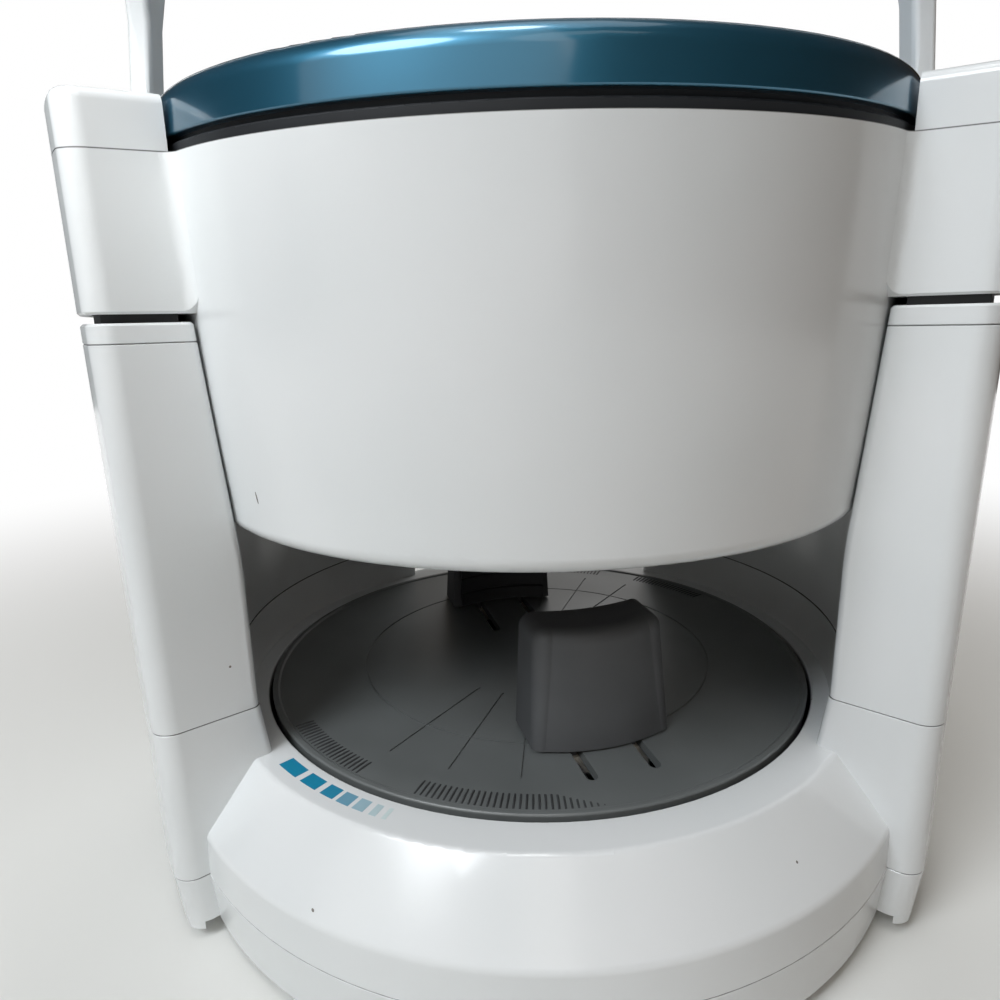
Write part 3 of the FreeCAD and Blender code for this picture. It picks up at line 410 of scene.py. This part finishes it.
def rotation_bars():
    """Seven sectors of the ring's flat between two radii, each paler and shorter than the one before:
    point = polar(inner + v (outer - inner), from + u (to - from)), for u and v from 0 to 1."""
    v, u = (np.linspace(0, 1, count) for count in BAR_GRID)
    corners = BAR_GRID[0] * BAR_GRID[1]
    az = BAR_AZ[:, :1] + (BAR_AZ[:, 1:] - BAR_AZ[:, :1]) * u
    radius = BAR_R[0] + (BAR_R[1] - BAR_R[0]) * v
    points = polar(radius[None, :, None], az[:, None, :], RING_TOP + FILM)
    grid = strip_faces(*BAR_GRID)[:, ::-1]
    faces = (np.arange(len(BAR_AZ))[:, None, None] * corners + grid).reshape(-1, 4)
    piece = shape_from("rotation_bars", points, faces)
    fade = piece.data.attributes.new("fade", "FLOAT", "POINT")
    fade.data.foreach_set("value", np.repeat(BAR_FADE, corners).astype(np.float32))
    thicken(piece, FILM)
    return add_piece(piece, "base", "ink")


# ---- ribs at the turntable's edge ---------------------------------------------------------------------
TABLE_TOP = 45.3
RIB_R = (76.2, 81.4)
RIB_AZ = np.concatenate([np.arange(-55.5, -33.5, 1.05), np.arange(-22.2, 9.5, 1.05)])
RIB_W, RIB_H = 0.56, 0.42
RIB_END, RIB_FADE, RIB_LEAST = 10.5, 9.0, 0.15      # bearing where the ribs end, degrees over which
                                                    # they shrink before it, and the least size
RIB_SINK = 0.05             # how far a rib reaches into the table
RIB_RINGS = 7               # sections along a rib, and corners of each


def edge_ribs():
    """Short ribs across the turntable's edge, in two groups and their twins opposite.  A rib's section
    is half an ellipse RIB_W wide and RIB_H high; along its length the height follows the fourth root
    of sin(pi t), and the second group dies away to the right."""
    az = np.concatenate([RIB_AZ, RIB_AZ + 180])
    size = np.clip((RIB_END - np.where(az < 90, az, az - 180)) / RIB_FADE, RIB_LEAST, 1.0)
    t = np.linspace(0.0, 1.0, RIB_RINGS)
    section = np.radians(np.linspace(0, 180, RIB_RINGS))
    side = RIB_W / 2 * np.cos(section)
    height = RIB_H * np.sin(section)
    length = RIB_R[0] + (RIB_R[1] - RIB_R[0]) * (1 - size[:, None] * (1 - t))
    lift = np.sin(np.pi * np.clip(t, 0.02, 0.98)) ** 0.25
    z = TABLE_TOP - RIB_SINK + size[:, None, None] * lift[None, :, None] * height
    radius = length[:, :, None] + 0 * z
    bearing = az[:, None, None] + np.degrees(side / radius)
    points = polar(radius, bearing, z)
    grid = strip_faces(RIB_RINGS, RIB_RINGS, closed=True)
    corners = RIB_RINGS ** 2
    ends = [list(range(RIB_RINGS))[::-1], list(range(corners - RIB_RINGS, corners))]
    faces = [list(face + corners * k) for k in range(len(az)) for face in grid]
    faces += [[i + corners * k for i in end] for k in range(len(az)) for end in ends]
    piece = shape_from("edge_ribs", points, faces)
    piece.data.shade_smooth()
    piece.data.set_sharp_from_angle(angle=np.radians(60))
    # Painted shade: the ribs take a darker colour than the turntable so that they read as shaded grooves.
    return add_piece(piece, "turntable", "rib_painted_shade")


# ---- marks of use -------------------------------------------------------------------------------------
SCUFFS = {      # piece that is marked: (centre, outward normal, half length, half width, lean in degrees)
    "head_front_shell": [((-62.5, -69.0, 115.5), (-0.652, -0.752, -0.094), 1.40, 0.24, 8.0)],
    "base_shell": [((-50.6, -94.6, 31.2), (-0.363, -0.655, 0.663), 0.45, 0.28, 60.0),
                   ((54.0, -87.6, 36.1), (0.381, -0.642, 0.665), 0.32, 0.26, 0.0)],
}
SCUFF_LIFT = 0.03           # from the casing to a scuff's face
SCUFF_CORNERS = 20


def scuffs(node):
    """Oval scuffs SCUFF_LIFT off a casing: centre + half length cos(t) along + half width sin(t) across,
    where along is the steepest way up the surface, leant over by the angle given."""
    turn = np.linspace(0, 2 * np.pi, SCUFF_CORNERS + 1)[:-1, None]
    points = []
    for centre, normal, half_length, half_width, lean in SCUFFS[node]:
        normal = np.array(normal) / np.linalg.norm(normal)
        across = np.cross([0.0, 0.0, 1.0], normal)
        across /= np.linalg.norm(across)
        up, lean = np.cross(normal, across), np.radians(lean)
        along, across = np.cos(lean) * up - np.sin(lean) * across, np.cos(lean) * across + np.sin(lean) * up
        points.append(centre + SCUFF_LIFT * normal + half_length * np.cos(turn) * along
                      - half_width * np.sin(turn) * across)
    faces = np.arange(len(points) * SCUFF_CORNERS).reshape(-1, SCUFF_CORNERS)
    piece = shape_from(node + "_scuffs", np.array(points) * MM, faces)
    thicken(piece, SCUFF_LIFT)
    return add_piece(piece, BODY_OF[node], "scuff")


# ---- studio -----------------------------------------------------------------------------------------
FLOOR_R, FLOOR_CORNERS = 5.0, 96
FLOOR_PAINT, FLOOR_FADE = "#e2e3e0", (0.14, 0.62)       # colour; metres over which it fades to white
AMBIENT, WARM_WHITE = 0.17, "#fff3e8"
LAMPS_AIM = (0.0, 0.0, 0.14)
LAMPS = {       # name: (place in metres, size in metres, watts, colour)
    "key_softbox": ((-0.36, -0.44, 0.62), 0.36, 3.5, "#f5faff"),
    "fill_softbox": ((0.42, -1.50, 1.20), 1.2, 3.7, "#fff6ee"),
    "top_softbox": ((-0.10, -0.32, 1.45), 0.34, 3.2, "#ffffff"),
    "rear_softbox": ((0.35, 1.50, 1.05), 1.0, 7.0, "#ffffff"),
}
# The left cap and handle leg get a little more light from a soft spot.
SPOT_PLACE, SPOT_AIM, SPOT_R = (-0.10, -0.50, 0.42), (-0.095, -0.062, 0.211), 0.03
SPOT_CONE, SPOT_WATTS = 15.5, 6.4
FLAG_R, FLAG_TOP, FLAG_STEPS = 1.45, 4.0, 33
FLAGS = {       # name: (first and last bearing, colour)
    "dark_flag": ((9, 150), "#31261e"),
    "rear_flag": ((150, 222), "#6b6660"),
    "grey_flag": ((-140, -62), "#33383d"),
}
# The floor's dark card: its two bearings, how far in from them it sets in, in metres, and its colour.
CARD_AZ, CARD_FADE, CARD_PAINT = (-8.0, 84.0), (0.03, 0.15), "#4f3e2e"


def make_world():
    """Dim even light all round; seen directly, or mirrored, the surround is plain white."""
    world = bpy.data.worlds.new("surround")
    bpy.context.scene.world = world
    world.use_nodes = True
    world.node_tree.nodes.clear()
    light = add_node(world, "ShaderNodeBackground", in_Strength=AMBIENT)
    white = add_node(world, "ShaderNodeBackground", in_Strength=1.0)
    light.inputs["Color"].default_value = colour(WARM_WHITE)
    white.inputs["Color"].default_value = (1, 1, 1, 1)
    mix = add_node(world, "ShaderNodeMixShader", {0: is_seen(world), 1: light.outputs[0],
                                                  2: white.outputs[0]})
    add_node(world, "ShaderNodeOutputWorld", {"Surface": mix.outputs[0]})


def is_seen(material):
    """1 for camera, glossy and transmission rays, else 0."""
    ray = add_node(material, "ShaderNodeLightPath")
    seen = add_node(material, "ShaderNodeMath", {0: ray.outputs["Is Camera Ray"],
                                                 1: ray.outputs["Is Glossy Ray"]}, operation="MAXIMUM")
    return add_node(material, "ShaderNodeMath", {0: seen.outputs[0], 1: ray.outputs["Is Transmission Ray"]},
                    operation="MAXIMUM").outputs[0]


def make_floor():
    """A pale round floor that fades into the white surround beyond half a metre.  To the light that
    it throws back on the machine it is a dark card between the two bearings CARD_AZ: the distance
    inwards from the nearer edge of that sector runs through CARD_FADE."""
    turn = np.linspace(0, 2 * np.pi, FLOOR_CORNERS + 1)[:-1]
    rim = np.column_stack([FLOOR_R * np.cos(turn), FLOOR_R * np.sin(turn), 0 * turn])
    floor = shape_from("studio_floor", rim, [range(len(turn))])
    bpy.context.scene.collection.objects.link(floor)
    material, shader = new_material("painted_studio_floor")
    shader.inputs["Base Color"].default_value = colour(FLOOR_PAINT)
    shader.inputs["Roughness"].default_value = 0.7
    place = add_node(material, "ShaderNodeTexCoord")
    away = add_node(material, "ShaderNodeVectorMath", {0: place.outputs["Object"]}, operation="LENGTH")
    fade = add_node(material, "ShaderNodeMapRange", {"Value": away.outputs["Value"]},
                    interpolation_type="SMOOTHSTEP", in_From_Min=FLOOR_FADE[0],
                    in_From_Max=FLOOR_FADE[1])
    fade = add_node(material, "ShaderNodeMath", {0: fade.outputs[0], 1: is_seen(material)},
                    operation="MULTIPLY")
    glow = add_node(material, "ShaderNodeEmission", in_Strength=1.0)
    mix = add_node(material, "ShaderNodeMixShader", {0: fade.outputs[0], 1: shader.outputs[0],
                                                     2: glow.outputs[0]})
    depths = []
    for inwards in np.radians([CARD_AZ[0] + 90, CARD_AZ[1] - 90]):
        edge = add_node(material, "ShaderNodeVectorMath", {0: place.outputs["Object"]},
                        operation="DOT_PRODUCT")
        edge.inputs[1].default_value = (np.sin(inwards), -np.cos(inwards), 0.0)
        depths.append(edge.outputs["Value"])
    depth = add_node(material, "ShaderNodeMath", {0: depths[0], 1: depths[1]}, operation="MINIMUM")
    card = add_node(material, "ShaderNodeMapRange", {"Value": depth.outputs[0]},
                    interpolation_type="SMOOTHSTEP", in_From_Min=CARD_FADE[0], in_From_Max=CARD_FADE[1])
    ray = add_node(material, "ShaderNodeLightPath")
    card = add_node(material, "ShaderNodeMath", {0: card.outputs[0], 1: ray.outputs["Is Diffuse Ray"]},
                    operation="MULTIPLY")
    dark = add_node(material, "ShaderNodeEmission", in_Color=colour(CARD_PAINT), in_Strength=1.0)
    mix = add_node(material, "ShaderNodeMixShader", {0: card.outputs[0], 1: mix.outputs[0],
                                                     2: dark.outputs[0]})
    out = [node for node in material.node_tree.nodes if node.type == "OUTPUT_MATERIAL"][0]
    plug(material, mix.outputs[0], out.inputs["Surface"])
    floor.data.materials.append(material)


def make_flags():
    """Dark cards beside the set, seen only in the gloss: parts of a cylinder FLAG_R in radius."""
    for name, (bearings, code) in FLAGS.items():
        az = np.linspace(*bearings, FLAG_STEPS)[None, :]
        z = np.array([0.0, FLAG_TOP])[:, None] / MM
        flag = shape_from(name, polar(FLAG_R / MM, az, z), strip_faces(2, FLAG_STEPS))
        bpy.context.scene.collection.objects.link(flag)
        material = bpy.data.materials.new("matt_" + name)
        material.use_nodes = True
        material.node_tree.nodes.clear()
        card = add_node(material, "ShaderNodeEmission", in_Color=colour(code), in_Strength=1.0)
        add_node(material, "ShaderNodeOutputMaterial", {"Surface": card.outputs[0]})
        flag.data.materials.append(material)
        flag.visible_camera = flag.visible_diffuse = False
        flag.visible_shadow = flag.visible_transmission = False


def hang(lamp, place, aim):
    """Puts a lamp at its place, its beam towards the aim."""
    toward = Vector(aim) - Vector(place)
    lamp.matrix_world = Matrix.Translation(place) @ toward.to_track_quat("-Z", "Y").to_matrix().to_4x4()
    bpy.context.scene.collection.objects.link(lamp)


def make_lamps():
    for name, (place, size, watts, code) in LAMPS.items():
        data = bpy.data.lights.new(name, "AREA")
        data.shape, data.size, data.energy, data.color = "DISK", size, watts, colour(code)[:3]
        hang(bpy.data.objects.new(name, data), place, LAMPS_AIM)
    data = bpy.data.lights.new("soft_spot", "SPOT")
    data.energy, data.spot_size, data.spot_blend = SPOT_WATTS, np.radians(SPOT_CONE), 1.0
    data.shadow_soft_size = SPOT_R
    hang(bpy.data.objects.new("soft_spot", data), SPOT_PLACE, SPOT_AIM)


# ---- the whole --------------------------------------------------------------------------------------
bpy.context.scene.view_settings.view_transform = "Standard"
place_camera()
make_world()
make_floor()
make_flags()
make_lamps()
FINISH = make_finishes()
for name in NODES:
    skin(name)
rotation_bars()
edge_ribs()
for name in SCUFFS:
    scuffs(name)
